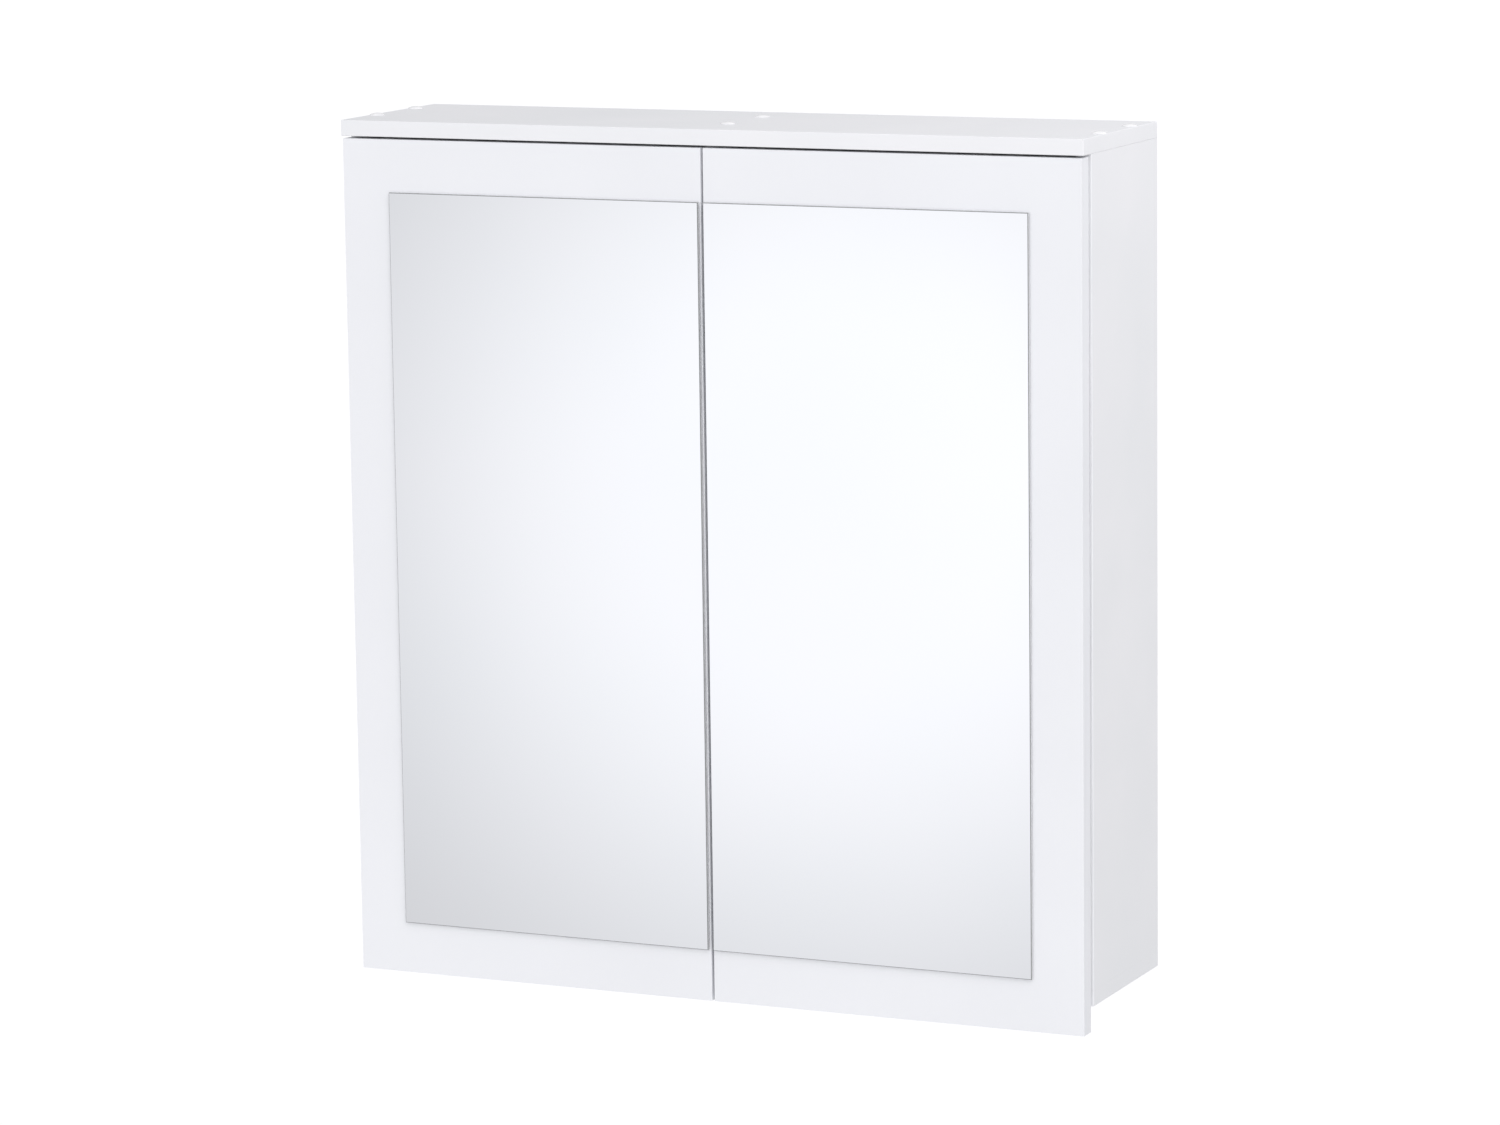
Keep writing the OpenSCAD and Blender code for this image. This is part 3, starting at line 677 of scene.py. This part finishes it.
# ---------------------------------------------------------------- hinges on the doors
# A drawn steel cup, 35 mm wide, sits in the door with its two ears screwed to the back. A steel
# pin across the cup is the axis that the arm's knuckle turns on.
cup_edge = 0.2 * mm
for side in ("left", "right"):
    for level in ("lower", "upper"):
        press_metal(f"{side}_{level}_hinge_cup", f"{side}_{level}_drawn_cup", f"{side}_door", cup_edge)
        refinish(f"{side}_{level}_hinge_pin", zinc_plate)
    refinish(f"{side}_cup_screws", nickel_plate)


# ---------------------------------------------------------------- door buffers
# Two clear polyurethane dots at the foot of each door, which meet the edge of the bottom panel.
# They are moulded with a rounded crown and stick by themselves.
clear_rubber, tree, coat, place = start_material("clear_polyurethane")
bloom = add_node(tree, "ShaderNodeTexNoise", Vector=place, Scale=1 / (2 * mm), Detail=2.0)
tree.links.new(two_tone(tree, bloom.outputs[0], "#E4E5E1", "#EFF0EC"), coat.inputs["Base Color"])
matt = add_node(tree, "ShaderNodeMapRange", Value=bloom.outputs[0], To_Min=0.12, To_Max=0.25)
tree.links.new(matt.outputs["Result"], coat.inputs["Roughness"])
coat.inputs["Transmission Weight"].default_value = 0.6
coat.inputs["IOR"].default_value = 1.49

crown = 1.2 * mm
crown_rings = 5
for side in ("left", "right"):
    node = f"{side}_door_buffers"
    low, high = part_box(node)
    dot_r = (high.z - low.z) / 2
    dots = []
    for x in (low.x + dot_r, high.x - dot_r):
        bpy.ops.object.select_all(action="DESELECT")
        bpy.ops.mesh.primitive_cylinder_add(
            vertices=32, radius=dot_r, depth=high.y - low.y, rotation=(math.pi / 2, 0, 0),
            location=(x, (low.y + high.y) / 2, (low.z + high.z) / 2),
        )
        dot = bpy.context.object
        bpy.ops.object.transform_apply(location=True, rotation=True, scale=True)
        bpy.ops.object.mode_set(mode="EDIT")
        pick("edges", lambda edge: all(v.co.y > high.y - touching for v in edge.verts))
        bpy.ops.mesh.bevel(offset=crown, segments=crown_rings, affect="EDGES")
        bpy.ops.object.mode_set(mode="OBJECT")
        shade(dot, degrees=40)
        dots.append(dot)
    only(*dots)
    bpy.ops.object.join()
    buffers = bpy.context.object
    buffers.name = buffers.data.name = f"{side}_buffer_dots"
    buffers.data.materials.append(clear_rubber)
    settle(buffers, f"{side}_door", "clear_rubber", node)
